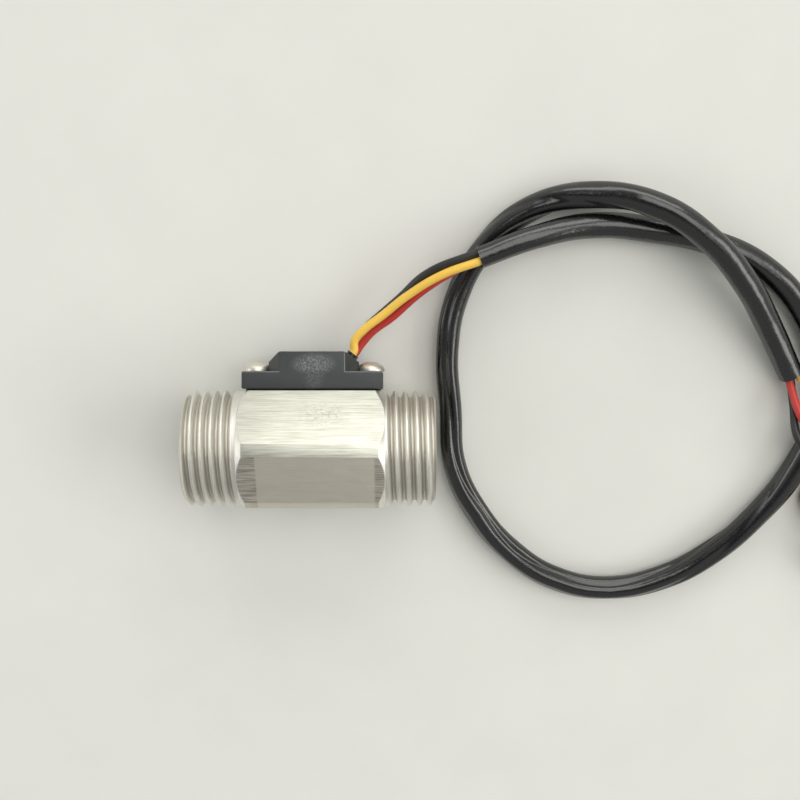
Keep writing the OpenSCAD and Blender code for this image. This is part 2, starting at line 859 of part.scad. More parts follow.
body();
inlet_guide();
front_bearing();
rotor();
rotor_shaft();
magnet(0);  // magnet_1
magnet(180);  // magnet_2
rear_support();
rear_bearing();
retaining_ring();
gasket();
sensor_housing();
circuit_board();
hall_sensor();
capacitor();
resistor();
potting();
wire_seal();
screw(-1, 20);  // screw_left
screw(1, 55);  // screw_right
yellow_wire();
red_wire();
black_wire();
cable_sleeve();
yellow_tail();
red_tail();
black_tail();
connector_housing();
crimp_terminal(-1);  // crimp_terminal_1
crimp_terminal(0);  // crimp_terminal_2
crimp_terminal(1);  // crimp_terminal_3
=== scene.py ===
# %% [markdown]
# # A stainless water flow sensor with its lead
#
# The object is a short steel pipe fitting with a turbine inside. It is turned from hexagon bar,
# threaded at both ends, and carries a plastic cap on one flat. Three thin wires leave the cap and
# run through a glossy black sleeve that lies on the table in one and a half turns.
#
# The solid model already fixes every place and size. This script dresses it: it cuts real
# threads, softens edges, lays the lead as smooth curves and gives every piece the surface of its
# real material.

# %% Load the solid model as a fixed frame
import json
import math
import bpy
from mathutils import Matrix, Vector


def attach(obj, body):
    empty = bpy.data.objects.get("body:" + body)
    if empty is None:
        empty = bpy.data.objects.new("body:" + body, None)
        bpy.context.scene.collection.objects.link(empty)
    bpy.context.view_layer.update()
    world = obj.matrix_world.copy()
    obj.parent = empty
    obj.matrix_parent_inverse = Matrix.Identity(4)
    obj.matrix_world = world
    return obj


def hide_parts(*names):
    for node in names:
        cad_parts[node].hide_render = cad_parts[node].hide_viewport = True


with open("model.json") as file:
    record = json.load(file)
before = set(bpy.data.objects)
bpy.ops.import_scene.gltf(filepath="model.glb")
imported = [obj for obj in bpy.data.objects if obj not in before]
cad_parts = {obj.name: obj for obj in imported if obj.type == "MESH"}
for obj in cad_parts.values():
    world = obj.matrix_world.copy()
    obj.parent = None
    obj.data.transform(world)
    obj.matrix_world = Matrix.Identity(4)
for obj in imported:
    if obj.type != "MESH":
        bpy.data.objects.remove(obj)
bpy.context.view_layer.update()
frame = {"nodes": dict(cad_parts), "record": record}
MM = 0.001
print("pieces in the frame:", len(frame["nodes"]))

# %% [markdown]
# The sensor lies tilted, on a corner of its hexagon and on the cap's lower edge. Modelling is far
# easier in the body's own frame, with X along the pipe and Y out of the flat under the cap. So
# each piece is made there, and one matrix then lays its mesh on the table. The tilt and the
# height follow from the hexagon and the cap, exactly as they do in the solid model.

# %% Sizes of the body and the cap, in millimetres
HEX_AF = 21.0
CORNER_R = HEX_AF / 2 / math.cos(math.pi / 6) - 0.624
HEX_LEN = 26.1
CONE_LEN = 1.1
THREAD_R = 10.478
THREAD_CHAMFER = 1.0
INLET_X = -23.0
OUTLET_X = 22.0
FLAT_Y = HEX_AF / 2
GASKET_T = 0.3
FLANGE_H = 3.15
BOSS_H = 3.5
CAP_W = 12.0
FLANGE_Y = FLAT_Y + GASKET_T + FLANGE_H
BOSS_Y = FLANGE_Y + BOSS_H

# %% The matrix that lays the sensor on the table
half_band = math.radians(30) - math.acos(FLAT_Y / CORNER_R)
reach = CORNER_R * math.cos(half_band) - CAP_W / 2
LEAN = math.atan2(reach, BOSS_Y - CORNER_R * math.sin(half_band))
high_y = BOSS_Y * math.cos(LEAN) + CAP_W / 2 * math.sin(LEAN)
low_y = CORNER_R * math.cos(max(0.0, math.radians(30) - LEAN - half_band))
LIE = Vector((
    -(INLET_X + OUTLET_X) / 2,
    (low_y - high_y) / 2,
    CORNER_R * math.cos(LEAN - half_band),
))
LAID = Matrix.Translation(LIE * MM) @ Matrix.Rotation(-LEAN, 4, "X")
print("lean in degrees:", round(math.degrees(LEAN), 2))


def on_table(x, y, z):
    """A point of the body's frame in millimetres, as a point on the table in metres."""
    return LAID @ (Vector((x, y, z)) * MM)


# %% [markdown]
# ## Camera
#
# The photo looks down almost square to the front of the cap, so the camera tilts by the same lean
# as the sensor. Its lens comes from the photo too: 52 mm on a 36 mm sensor, 212 mm above the
# pipe's axis.

# %% Camera at the photo's angle
CAMERA_AT = (15.65, 8.81, 212.0)
camera = bpy.data.objects.new("camera", bpy.data.cameras.new("camera"))
bpy.context.scene.collection.objects.link(camera)
camera.location = on_table(*CAMERA_AT)
camera.rotation_euler = (-LEAN, 0, 0)
camera.data.lens = 52.28
camera.data.sensor_width = 36
camera.data.clip_start = 0.01
bpy.context.scene.camera = camera

# %% [markdown]
# ## Helpers for modelling
#
# An operator works on all that is selected, and the frame's own pieces come in selected. So every
# step starts from an empty selection, and the finished piece keeps its place in its mesh, with
# the object itself at the origin.

# %% Selection and finishing


def only(piece):
    """Selects one piece and nothing else."""
    if bpy.context.object and bpy.context.object.mode != "OBJECT":
        bpy.ops.object.mode_set(mode="OBJECT")
    bpy.ops.object.select_all(action="DESELECT")
    piece.select_set(True)
    bpy.context.view_layer.objects.active = piece


def modify(piece, kind, **settings):
    """Adds one modifier with its settings and applies it."""
    only(piece)
    made = piece.modifiers.new(kind.lower(), kind)
    for name, value in settings.items():
        setattr(made, name, value)
    bpy.ops.object.modifier_apply(modifier=made.name)


def cut(piece, tool, operation="DIFFERENCE"):
    """Cuts a tool out of a piece, or joins it on, and removes the tool."""
    modify(piece, "BOOLEAN", object=tool, operation=operation, solver="EXACT")
    bpy.data.objects.remove(tool)


def keep_place(piece, name):
    """Names a piece and moves its place, turn and scale into its mesh."""
    only(piece)
    bpy.ops.object.transform_apply(location=True, rotation=True, scale=True)
    piece.name = name
    piece.data.name = name
    return piece


def lay(piece, angle=30):
    """Lays a piece of the body's frame on the table and shades its curves smooth."""
    piece.data.transform(LAID)
    only(piece)
    bpy.ops.object.shade_smooth_by_angle(angle=math.radians(angle))
    return piece


# %% Rods, blocks and lathe work


def rod(x0, x1, radius, sides=64, axis="X", at=(0, 0)):
    """A cylinder along one axis between two places, in millimetres."""
    bpy.ops.object.select_all(action="DESELECT")
    turn = {"X": (0, math.pi / 2, 0), "Y": (math.pi / 2, 0, 0), "Z": (0, 0, 0)}[axis]
    middle = (x0 + x1) / 2
    place = {
        "X": (middle, at[0], at[1]), "Y": (at[0], middle, at[1]), "Z": (at[0], at[1], middle),
    }[axis]
    bpy.ops.mesh.primitive_cylinder_add(
        vertices=sides, radius=radius * MM, depth=(x1 - x0) * MM,
        location=Vector(place) * MM, rotation=turn,
    )
    return keep_place(bpy.context.object, "rod")


def block(low, high):
    """A box between two corners, in millimetres."""
    bpy.ops.object.select_all(action="DESELECT")
    low, high = Vector(low), Vector(high)
    bpy.ops.mesh.primitive_cube_add(
        size=1, location=(low + high) / 2 * MM, scale=(high - low) * MM
    )
    return keep_place(bpy.context.object, "block")


def lathe(stations, sides=128):
    """A solid of revolution about X: a ring is extruded from one (x, radius) to the next."""
    bpy.ops.object.select_all(action="DESELECT")
    x, radius = stations[0]
    bpy.ops.mesh.primitive_circle_add(
        vertices=sides, radius=radius * MM, fill_type="NGON",
        location=(x * MM, 0, 0), rotation=(0, math.pi / 2, 0),
    )
    piece = keep_place(bpy.context.object, "lathe")
    bpy.ops.object.mode_set(mode="EDIT")
    bpy.ops.mesh.select_all(action="SELECT")
    for next_x, next_radius in stations[1:]:
        bpy.ops.mesh.extrude_region_move(
            TRANSFORM_OT_translate={"value": ((next_x - x) * MM, 0, 0)}
        )
        scale = next_radius / radius
        bpy.ops.transform.resize(
            value=(1, scale, scale), center_override=(next_x * MM, 0, 0)
        )
        x, radius = next_x, next_radius
    bpy.ops.mesh.select_all(action="SELECT")
    bpy.ops.mesh.normals_make_consistent(inside=False)
    bpy.ops.object.mode_set(mode="OBJECT")
    return piece


def chop(piece, point, outward):
    """Slices a piece along a plane, drops what lies outside it and closes the cut."""
    only(piece)
    bpy.ops.object.mode_set(mode="EDIT")
    bpy.ops.mesh.select_all(action="SELECT")
    bpy.ops.mesh.bisect(
        plane_co=Vector(point) * MM, plane_no=outward, use_fill=True, clear_outer=True
    )
    bpy.ops.object.mode_set(mode="OBJECT")


# %% [markdown]
# ## Helpers for materials
#
# Every colour is written as a web hex value and turned to linear light by one function. One other
# function adds any node, with its settings, its values and its links. Patterns are measured in
# millimetres of the real surface: the mapping node first brings a point back into the body's own
# frame, because the surfaces were worked along the pipe and not along the table.

# %% Colour, nodes and links


def linear(code):
    """A hex colour such as 4f5251 as linear red, green, blue and full alpha."""
    parts = [int(code[i:i + 2], 16) / 255 for i in (0, 2, 4)]
    return [c / 12.92 if c <= 0.04045 else ((c + 0.055) / 1.055) ** 2.4 for c in parts] + [1]


def connect(tree, node, inputs):
    """Gives each input a value, a hex colour, or a link from a node or from one of its outputs."""
    for name, value in inputs.items():
        if isinstance(value, bpy.types.Node):
            value = next(output for output in value.outputs if output.enabled)
        if isinstance(value, bpy.types.NodeSocket):
            tree.links.new(value, node.inputs[name])
        else:
            node.inputs[name].default_value = linear(value) if isinstance(value, str) else value


def add(tree, kind, inputs=None, stops=(), **settings):
    """Adds one node with its settings and inputs. Stops are those of a colour ramp."""
    made = tree.nodes.new("ShaderNode" + kind)
    for name, value in settings.items():
        setattr(made, name, value)
    for i, (position, code) in enumerate(stops):
        ramp = made.color_ramp.elements
        stop = ramp[i] if i < 2 else ramp.new(position)
        stop.position = position
        stop.color = linear(code)
    connect(tree, made, inputs or {})
    return made


def finish_named(name, **sockets):
    """A new material and its shader, with constant values set on the shader's own sockets."""
    made = bpy.data.materials.new(name)
    made.use_nodes = True
    tree = made.node_tree
    shader = tree.nodes["Principled BSDF"]
    connect(tree, shader, {socket.replace("_", " "): value for socket, value in sockets.items()})
    return made, tree, shader


# %% A surface's own millimetres


def body_frame(tree, size=(1, 1, 1)):
    """Coordinates of the body's frame, where one unit is the given size in millimetres."""
    turned = add(tree, "Mapping", {
        "Vector": add(tree, "TexCoord").outputs["Object"],
        "Location": LIE * MM, "Rotation": (-LEAN, 0, 0),
    }, vector_type="TEXTURE")
    return add(tree, "Mapping", {"Vector": turned, "Scale": [1 / (s * MM) for s in size]})


def grains(tree, size, detail=2.0, sharp=0.5):
    """A pattern whose grains have the given size in millimetres along the body's axes."""
    return add(tree, "TexNoise", {
        "Vector": body_frame(tree, size), "Scale": 1.0, "Detail": detail, "Roughness": sharp,
    })


def near(tree, value, middle, half, soft=0.15):
    """One where a value lies within half of the middle, and zero outside, with a soft edge."""
    off = add(tree, "Math", {0: value, 1: middle}, operation="SUBTRACT")
    away = add(tree, "Math", {0: off}, operation="ABSOLUTE")
    return add(tree, "MapRange", {0: away, 1: half - soft, 2: half + soft, 3: 1, 4: 0})


# %% [markdown]
# ## The lead: sleeve and wires
#
# The sleeve is soft PVC tube, 4.8 mm across, and lies where the photo shows it: from its mouth
# over its own first turn, round the loop, over itself again and to its far end at the picture's
# edge. It is drawn as a bezier curve through the route's points. Real thin tube never stays
# round: the wires inside press it into soft ridges. So the curve's bevel is a slightly creased
# ring, which turns slowly along the way. The curve becomes a mesh, and a Solidify modifier gives
# it a wall, so that both ends are open.
#
# Each wire is a curve too. It starts on the circuit board, leaves through the cap's sloping hip,
# droops a little and enters the sleeve's mouth. The far wires leave the sleeve's other end, cross
# the outer turn and end in the plug's contacts. The wires also become meshes, because the box of
# a curve object is far larger than what it draws, and the lead's size has to be measured.

# %% Routes of the lead, in millimetres, as in the solid model
SLEEVE_D = 4.8
WIRE_D = 1.5
SLEEVE_ROUTE = [
    (30, 31, 7.8), (40, 34.5, 6.5), (50.5, 36, 3.6), (61.5, 35, 2.4), (72, 32.8, 2.4),
    (82, 28, 2.4), (90, 20, 2.4), (94.5, 10, 2.4), (95, -1, 2.4), (91.5, -11.5, 2.4),
    (85.5, -20.5, 2.4), (77.5, -28.5, 2.4), (68.5, -34, 2.4), (57.5, -36.5, 2.4),
    (47, -34.5, 2.4), (38, -28.5, 2.4), (31, -20, 2.4), (26.5, -10, 2.4), (25.65, 1, 2.4),
    (24.9, 12, 2.4), (26.5, 22.5, 2.4), (31.5, 32, 2.4), (40, 39, 2.4), (50.5, 41.5, 4),
    (61, 40, 7.2), (70, 34.5, 8), (77.5, 26.5, 7), (83.5, 17.5, 4.4), (89, 8, 2.4),
]
NEAR_ROUTES = {
    "yellow": [
        (7.9, 15.4, 6.4), (9.4, 17.3, 6.3), (13, 20.2, 6.3), (17.5, 24, 7), (23.5, 28, 8.2)
    ],
    "red": [
        (9, 14.3, 4.8), (11.2, 16.8, 4.6), (14.5, 19.3, 4.8), (19.5, 24, 5.6), (25, 28, 6.7)
    ],
    "black": [
        (8, 14, 3.2), (9.6, 16.7, 3.3), (12.5, 19.6, 3.9), (16, 23, 5), (21, 28, 6.8)
    ],
}
FAR_ROUTES = {
    "yellow": [(92.5, 6, 5.5), (96, 2.5, 6.4), (99.5, -3, 5), (101.3, -10, 3.4)],
    "red": [(90.4, 1.2, 5.6), (92.4, -2, 6.8), (95.5, -5, 6.4), (98, -9.5, 4.6), (98.8, -14.5, 3)],
    "black": [(89.8, 2.4, 3.2), (90.4, -3.4, 6), (94, -8, 6.2), (96, -13, 2.8), (94.6, -17.5, 1.2)],
}
# Each wire's seat in the sleeve's two ends: across and up from the middle
NEAR_SEATS = {"yellow": (0.45, 0.78), "red": (0.45, -0.78), "black": (-0.88, 0)}
FAR_SEATS = {"yellow": (-0.8, 0.35), "red": (0.75, 0.35), "black": (0, -0.95)}

# %% Where the wires leave the hip, and where they enter the plug
HIP_TOP_X = 5.87
HIP_ANGLE = math.atan2(BOSS_H, 10.5 - HIP_TOP_X)
BOARD_TOP = 2.8
BEAD_H = 0.6
# Down the hip's slope, across it, and the place on the board
EXITS = {"yellow": (1.0, 1.1, 4.6), "red": (1.3, -0.65, 4.8), "black": (1.0, -2.4, 4.6)}
PLUG_AT = Vector((101, -24, 0))
PLUG_TURN = math.radians(-60)
PLUG_SIZE = (9.0, 9.8, 5.75)
PLUG_PITCH = 2.5
PLUG_LANES = {"yellow": 1, "red": 0, "black": -1}


def hip_point(u, v, w):
    """A point u down the right hip, v across it and w above it, in the body's frame."""
    return (
        HIP_TOP_X + u * math.cos(HIP_ANGLE) + w * math.sin(HIP_ANGLE),
        BOSS_Y - u * math.sin(HIP_ANGLE) + w * math.cos(HIP_ANGLE),
        v,
    )


def plug_point(x, y, z):
    """A point of the plug's own frame, on the table, in millimetres."""
    return PLUG_AT + Matrix.Rotation(PLUG_TURN, 3, "Z") @ Vector((x, y, z))


def sleeve_seat(end, seat, past):
    """A wire's seat at one end of the sleeve, moved along the sleeve by so many millimetres."""
    points = [Vector(p) for p in SLEEVE_ROUTE]
    last = len(points) - 1
    here, ahead, behind = (points[0], points[1], points[0]) if end == 0 else (
        points[last], points[last], points[last - 1])
    along = (ahead - behind).normalized()
    side = along.cross(Vector((0, 0, 1))).normalized()
    up = side.cross(along)
    return here + side * seat[0] + up * seat[1] + along * past


# %% One smooth curve through a list of points


def soft_curve(name, points, diameter, steps=10):
    """A bezier curve in metres through points in metres, with a round section."""
    data = bpy.data.curves.new(name, "CURVE")
    data.dimensions = "3D"
    data.resolution_u = steps
    data.bevel_depth = diameter / 2
    data.bevel_resolution = 6
    spline = data.splines.new("BEZIER")
    spline.bezier_points.add(len(points) - 1)
    for knot, point in zip(spline.bezier_points, points):
        knot.co = point
        knot.handle_left_type = "AUTO"
        knot.handle_right_type = "AUTO"
    piece = bpy.data.objects.new(name, data)
    bpy.context.scene.collection.objects.link(piece)
    return piece


def walked(piece, steps=8):
    """Points along a bezier curve, close enough together to have its length."""
    knots = piece.data.splines[0].bezier_points
    path = [knots[0].co.copy()]
    for a, b in zip(knots, knots[1:]):
        for k in range(1, steps + 1):
            t = k / steps
            path.append(
                (1 - t) ** 3 * a.co + 3 * (1 - t) ** 2 * t * a.handle_right
                + 3 * (1 - t) * t ** 2 * b.handle_left + t ** 3 * b.co
            )
    return path


def as_mesh(piece):
    """Turns a wire's curve into a closed mesh. Gives the mesh and the path it was drawn along."""
    piece.data.use_fill_caps = True
    bpy.context.view_layer.update()
    path = walked(piece)
    only(piece)
    bpy.ops.object.convert(target="MESH")
    piece = bpy.context.object
    modify(piece, "WELD", merge_threshold=0.002 * MM)
    bpy.ops.object.shade_smooth_by_angle(angle=math.radians(40))
    return piece, path


# %% The creased ring that the sleeve is drawn with
# Radius of the ring, as a share of the sleeve's, every 15 degrees from its creased side
CREASES = (
    1.0, 1.0, 0.98, 0.91, 0.79, 0.91, 0.99, 1.0, 1.0, 0.99, 0.98, 0.99,
    1.0, 1.0, 0.99, 0.98, 0.99, 1.0, 1.0, 0.99, 0.96, 0.89, 0.93, 0.98,
)
ring = soft_curve("sleeve_ring", [
    Vector((
        math.sin(k * math.pi / 12) * share, math.cos(k * math.pi / 12) * share, 0
    )) * SLEEVE_D / 2 * MM
    for k, share in enumerate(CREASES)
], 0, 2)
ring.data.splines[0].use_cyclic_u = True

# %% The black sleeve
# How far the creased side has turned from the top at each point of the route, in degrees
TURNS = (190, 185, 170, 180, 190, 180, 170, 160, 150, 120, 80, 40, 5, -20, -10, -30, -15, -40, -60,
         -72, -85, -55, 0, 80, 150, 185, 175, 190, 205)
sleeve = soft_curve("cable_sleeve_tube", [Vector(p) * MM for p in SLEEVE_ROUTE], 0)
sleeve.data.bevel_mode = "OBJECT"
sleeve.data.bevel_object = ring
sleeve.data.twist_mode = "Z_UP"
knots = sleeve.data.splines[0].bezier_points
# It is never quite even: slim at its mouth, pressed flatter beside the outlet, and elsewhere
# a little thinner at every third point
SLIM = {0: 0.82, 1: 0.9, 2: 0.97, 17: 0.94, 18: 0.9, 19: 0.88, 20: 0.9, 21: 0.94}
UNEVEN = 0.97
for k, turn in enumerate(TURNS):
    knots[k].tilt = math.radians(turn)
    knots[k].radius = SLIM.get(k, UNEVEN if k % 3 == 1 else 1)
bpy.context.view_layer.update()
only(sleeve)
bpy.ops.object.convert(target="MESH")
sleeve = bpy.context.object
bpy.data.objects.remove(ring)
modify(sleeve, "SOLIDIFY", thickness=0.3 * MM, offset=-1)
bpy.ops.object.shade_smooth_by_angle(angle=math.radians(40))
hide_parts("cable_sleeve")
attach(sleeve, "housing")

# %% The near wires, from the board through the hip into the sleeve
wires = {}
for colour, free in NEAR_ROUTES.items():
    u, v, board_x = EXITS[colour]
    rise = (HIP_TOP_X + u * math.cos(HIP_ANGLE) - board_x) / math.sin(HIP_ANGLE)
    inner = [
        on_table(board_x, FLAT_Y + BOARD_TOP + 0.02, v),
        on_table(*hip_point(u, v, -rise)),
        on_table(*hip_point(u, v, BEAD_H + 0.4)),
    ]
    seats = [sleeve_seat(0, NEAR_SEATS[colour], past) * MM for past in (0, 5)]
    wire = soft_curve(f"{colour}_near_wire", inner + [Vector(p) * MM for p in free] + seats,
                      WIRE_D * MM)
    wire, path = as_mesh(wire)
    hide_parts(f"{colour}_wire")
    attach(wire, "housing")
    wires[wire.name] = wire

# %% The far wires, from the sleeve over the outer turn into the plug
far_paths = {}
for colour, free in FAR_ROUTES.items():
    lane = PLUG_LANES[colour] * PLUG_PITCH
    seats = [sleeve_seat(1, FAR_SEATS[colour], past) * MM for past in (-5, 0)]
    ends = [plug_point(x, lane, PLUG_SIZE[2] / 2) * MM for x in (-5, 2.8)]
    wire = soft_curve(f"{colour}_far_wire", seats + [Vector(p) * MM for p in free] + ends,
                      WIRE_D * MM)
    wire, far_paths[colour] = as_mesh(wire)
    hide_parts(f"{colour}_tail")
    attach(wire, "housing")
    wires[wire.name] = wire

# %% [markdown]
# ## The steel body
#
# The real one is turned on a lathe from hexagon bar: the lathe rounds the corners, cuts a cone at
# each end of the hexagon, and threads what is left. The same steps are used here. A lathe profile
# is crossed with a hexagon bar, its edges are eased with a bevel, and then the drill's passage
# and the thread's groove are cut. The groove is a small profile turned into a helix by the Screw
# modifier. The two corners beside the cap are sharp in the photo, so the lathe leaves them
# standing.

# %% Turned bar crossed with the hexagon
foot = HEX_LEN / 2
shoulder = foot - CONE_LEN
mouth_r = THREAD_R - THREAD_CHAMFER
body = lathe([
    (INLET_X, mouth_r), (INLET_X + THREAD_CHAMFER, THREAD_R), (-foot, THREAD_R),
    (-shoulder, CORNER_R), (shoulder, CORNER_R), (foot, THREAD_R),
    (OUTLET_X - THREAD_CHAMFER, THREAD_R), (OUTLET_X, mouth_r),
])
SHARP_R = FLAT_Y / math.cos(math.pi / 6)
SLANT = CONE_LEN / (CORNER_R - THREAD_R)
sharp = shoulder - (SHARP_R - CORNER_R) * SLANT
corners = lathe([(-foot, THREAD_R), (-sharp, SHARP_R), (sharp, SHARP_R), (foot, THREAD_R)])
cut(corners, block((-foot - 1, 8.6, -7), (foot + 1, 12, 7)), "INTERSECT")
cut(body, corners, "UNION")
bar = rod(INLET_X - 1, OUTLET_X + 1, SHARP_R, sides=6)
bar.data.transform(Matrix.Rotation(math.pi / 6, 4, "X"))
cut(body, bar, "INTERSECT")
modify(body, "WELD", merge_threshold=0.01 * MM)
modify(body, "BEVEL", width=0.12 * MM, segments=2, limit_method="ANGLE",
       angle_limit=math.radians(12))
print("faces after the bevel:", len(body.data.polygons))

# %% The passage through it
BORE_R = 7.4
OUTLET_BORE_R = 6.6
SHOULDER_X = 12.0
MOUTH_CHAMFER = 0.5
RING_X = -13.2
GROOVE_W = 1.06
GROOVE_R = 7.8
passage = lathe([
    (INLET_X - 1, BORE_R + MOUTH_CHAMFER + 1), (INLET_X + MOUTH_CHAMFER, BORE_R),
    (RING_X - GROOVE_W, BORE_R), (RING_X - GROOVE_W, GROOVE_R), (RING_X + 0.02, GROOVE_R),
    (RING_X + 0.02, BORE_R), (SHOULDER_X, BORE_R), (SHOULDER_X, OUTLET_BORE_R),
    (OUTLET_X - MOUTH_CHAMFER, OUTLET_BORE_R), (OUTLET_X + 1, OUTLET_BORE_R + MOUTH_CHAMFER + 1),
])
cut(body, passage)

# %% [markdown]
# The pipe thread is G1/2: 14 turns to the inch, a pitch of 1.814 mm, flanks at 55 degrees. Its
# groove runs out behind the sensor, so that a smooth collar is left beside the hexagon, as in the
# photo.

# %% The thread's groove, turned into a helix
PITCH = 1.814
THREAD_DEPTH = 1.162
ROOT_R = THREAD_R - THREAD_DEPTH
LAND = 0.13
half_top = PITCH / 2 - LAND
SECTION = [
    (-0.3, ROOT_R + 0.17), (-0.14, ROOT_R + 0.03), (0, ROOT_R), (0.14, ROOT_R + 0.03),
    (0.3, ROOT_R + 0.17), (half_top - 0.1, THREAD_R - 0.15), (half_top, THREAD_R - 0.03),
    (half_top, THREAD_R + 0.5), (-half_top, THREAD_R + 0.5), (-half_top, THREAD_R - 0.03),
    (0.1 - half_top, THREAD_R - 0.15),
]
STEPS = 72


def groove(front_x, first, last, shallow_end):
    """Cuts a right-handed groove that crosses the front of the pipe at front_x.

    It runs between two angles, in turns from the front, and rises out of the metal over the
    last third of a turn at its shallow end.
    """
    bpy.ops.object.select_all(action="DESELECT")
    bpy.ops.mesh.primitive_circle_add(vertices=len(SECTION), radius=MM)
    cutter = bpy.context.object
    for vertex, (x, radius) in zip(cutter.data.vertices, SECTION):
        vertex.co = Vector((front_x + first * PITCH + x, 0, radius)) * MM
    cutter.data.transform(Matrix.Rotation(first * 2 * math.pi, 4, "X"))
    steps = round((last - first) * STEPS)
    modify(cutter, "SCREW", axis="X", angle=(last - first) * 2 * math.pi,
           screw_offset=(last - first) * PITCH * MM, steps=steps, render_steps=steps,
           use_merge_vertices=False, use_smooth_shade=False)
    fade = STEPS // 3
    for k in range(steps + 1):
        rise = 1 - (steps - k if shallow_end == "last" else k) / fade
        if rise > 0:
            lift = 1 + rise ** 2 * (THREAD_DEPTH + 0.05) / ROOT_R
            for vertex in cutter.data.vertices[k * len(SECTION):(k + 1) * len(SECTION)]:
                vertex.co = Vector((vertex.co.x, vertex.co.y * lift, vertex.co.z * lift))
    only(cutter)
    bpy.ops.object.mode_set(mode="EDIT")
    bpy.ops.mesh.select_all(action="DESELECT")
    bpy.ops.mesh.select_non_manifold()
    bpy.ops.mesh.edge_face_add()
    bpy.ops.mesh.select_all(action="SELECT")
    bpy.ops.mesh.normals_make_consistent(inside=False)
    bpy.ops.object.mode_set(mode="OBJECT")
    cut(body, cutter)


groove(-14.59, -5.6, 0.42, "last")
groove(14.29, -0.46, 5.2, "first")
print("faces after the threads:", len(body.data.polygons))

# %% Screw holes under the cap, then the body is laid on the table
SCREW_X = 10.35
for side in (-1, 1):
    hole = rod(FLAT_Y - 2.65, FLAT_Y + 1, 1.27, sides=32, axis="Y", at=(side * SCREW_X, 0))
    cut(body, hole)
keep_place(body, "steel_body")
lay(body, 28)
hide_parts("body")
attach(body, "housing")

# %% [markdown]
# ## The sensor cap
#
# The cap is moulded in one piece: a flange that the two screws hold down, and a raised boss whose
# ends come to a prow beside each screw and slope down in hips. The boss starts as a block and is
# sliced along its six sloping planes. The edges get a small round before the two parts are
# joined, so the joints between them stay crisp, as a mould leaves them.

# %% Flange and boss
BOSS_TOP = HIP_TOP_X
PROW_X = 8.9
flange = block((-12.5, FLAT_Y + GASKET_T, -CAP_W / 2), (12.5, FLANGE_Y, CAP_W / 2))
modify(flange, "BEVEL", width=0.3 * MM, segments=3, limit_method="ANGLE")
boss = block((-PROW_X, FLANGE_Y - 1, -CAP_W / 2), (PROW_X, BOSS_Y, CAP_W / 2))
for side in (-1, 1):
    chop(boss, (side * BOSS_TOP, BOSS_Y, 0), (side * math.sin(HIP_ANGLE), math.cos(HIP_ANGLE), 0))
    for face in (-1, 1):
        slope = Vector((side * CAP_W / 2, 0, face * (PROW_X - BOSS_TOP))).normalized()
        chop(boss, (side * PROW_X, 0, 0), slope)
modify(boss, "BEVEL", width=0.22 * MM, segments=3, limit_method="ANGLE",
       angle_limit=math.radians(20))
for side in (-1, 1):
    cut(boss, rod(FLANGE_Y - 2, BOSS_Y + 1, 2.7, axis="Y", at=(side * SCREW_X, 0)))
cut(flange, boss, "UNION")
cap = flange

# %% Cavity, screw holes and the wires' bores
CAVITY_X, CAVITY_H, CAVITY_Z = 5.8, 5.1, 3.4
cut(cap, block(
    (-CAVITY_X, FLAT_Y - 1, -CAVITY_Z), (CAVITY_X, FLAT_Y + GASKET_T + CAVITY_H, CAVITY_Z)
))
for side in (-1, 1):
    cut(cap, rod(FLAT_Y - 1, BOSS_Y, 1.4, sides=32, axis="Y", at=(side * SCREW_X, 0)))
for u, v, board_x in EXITS.values():
    bore = rod(-3.2, 2, 0.8, sides=24, axis="Z")
    turn = Matrix.Rotation(-HIP_ANGLE, 4, "Z") @ Matrix.Rotation(-math.pi / 2, 4, "X")
    bore.data.transform(Matrix.Translation(Vector(hip_point(u, v, 0)) * MM) @ turn)
    cut(cap, bore)
keep_place(cap, "moulded_cap")
lay(cap, 28)
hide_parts("sensor_housing")
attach(cap, "housing")
print("faces of the cap:", len(cap.data.polygons))

# %% [markdown]
# ## Screws
#
# Two small pan head screws hold the cap. One is turned on the lathe, its cross recess is cut, and
# the second is a copy with its own mesh, turned a little differently, as screws end up by hand.

# %% One pan head screw, made along X and then stood on the flange
head = [
    (-6.0, 0.95), (-5.7, 1.25), (-0.05, 1.25), (0, 2.36), (0.1, 2.48), (0.35, 2.5), (0.7, 2.42),
    (1.05, 2.2), (1.35, 1.86), (1.6, 1.42), (1.76, 0.92), (1.82, 0.5),
]
pan = lathe(head, sides=48)
for turn in (0, math.pi / 2):
    arm = block((0.9, -1.3, -0.3), (3, 1.3, 0.3))
    arm.data.transform(Matrix.Rotation(turn, 4, "X"))
    cut(pan, arm)
modify(pan, "BEVEL", width=0.05 * MM, segments=2, limit_method="ANGLE",
       angle_limit=math.radians(50))
STAND = Matrix.Rotation(math.pi / 2, 4, "Z")
screws = []
for name, side, turn in (("left_screw", -1, 20), ("right_screw", 1, 55)):
    screw = bpy.data.objects.new(name, pan.data.copy())
    bpy.context.scene.collection.objects.link(screw)
    spun = STAND @ Matrix.Rotation(math.radians(turn), 4, "X")
    screw.data.transform(Matrix.Translation(Vector((side * SCREW_X, FLANGE_Y, 0)) * MM) @ spun)
    lay(screw, 35)
    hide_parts("screw_" + name.split("_")[0])
    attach(screw, "housing")
    screws.append(screw)
bpy.data.objects.remove(pan)
print("screws:", len(screws), "with faces:", len(screws[0].data.polygons))
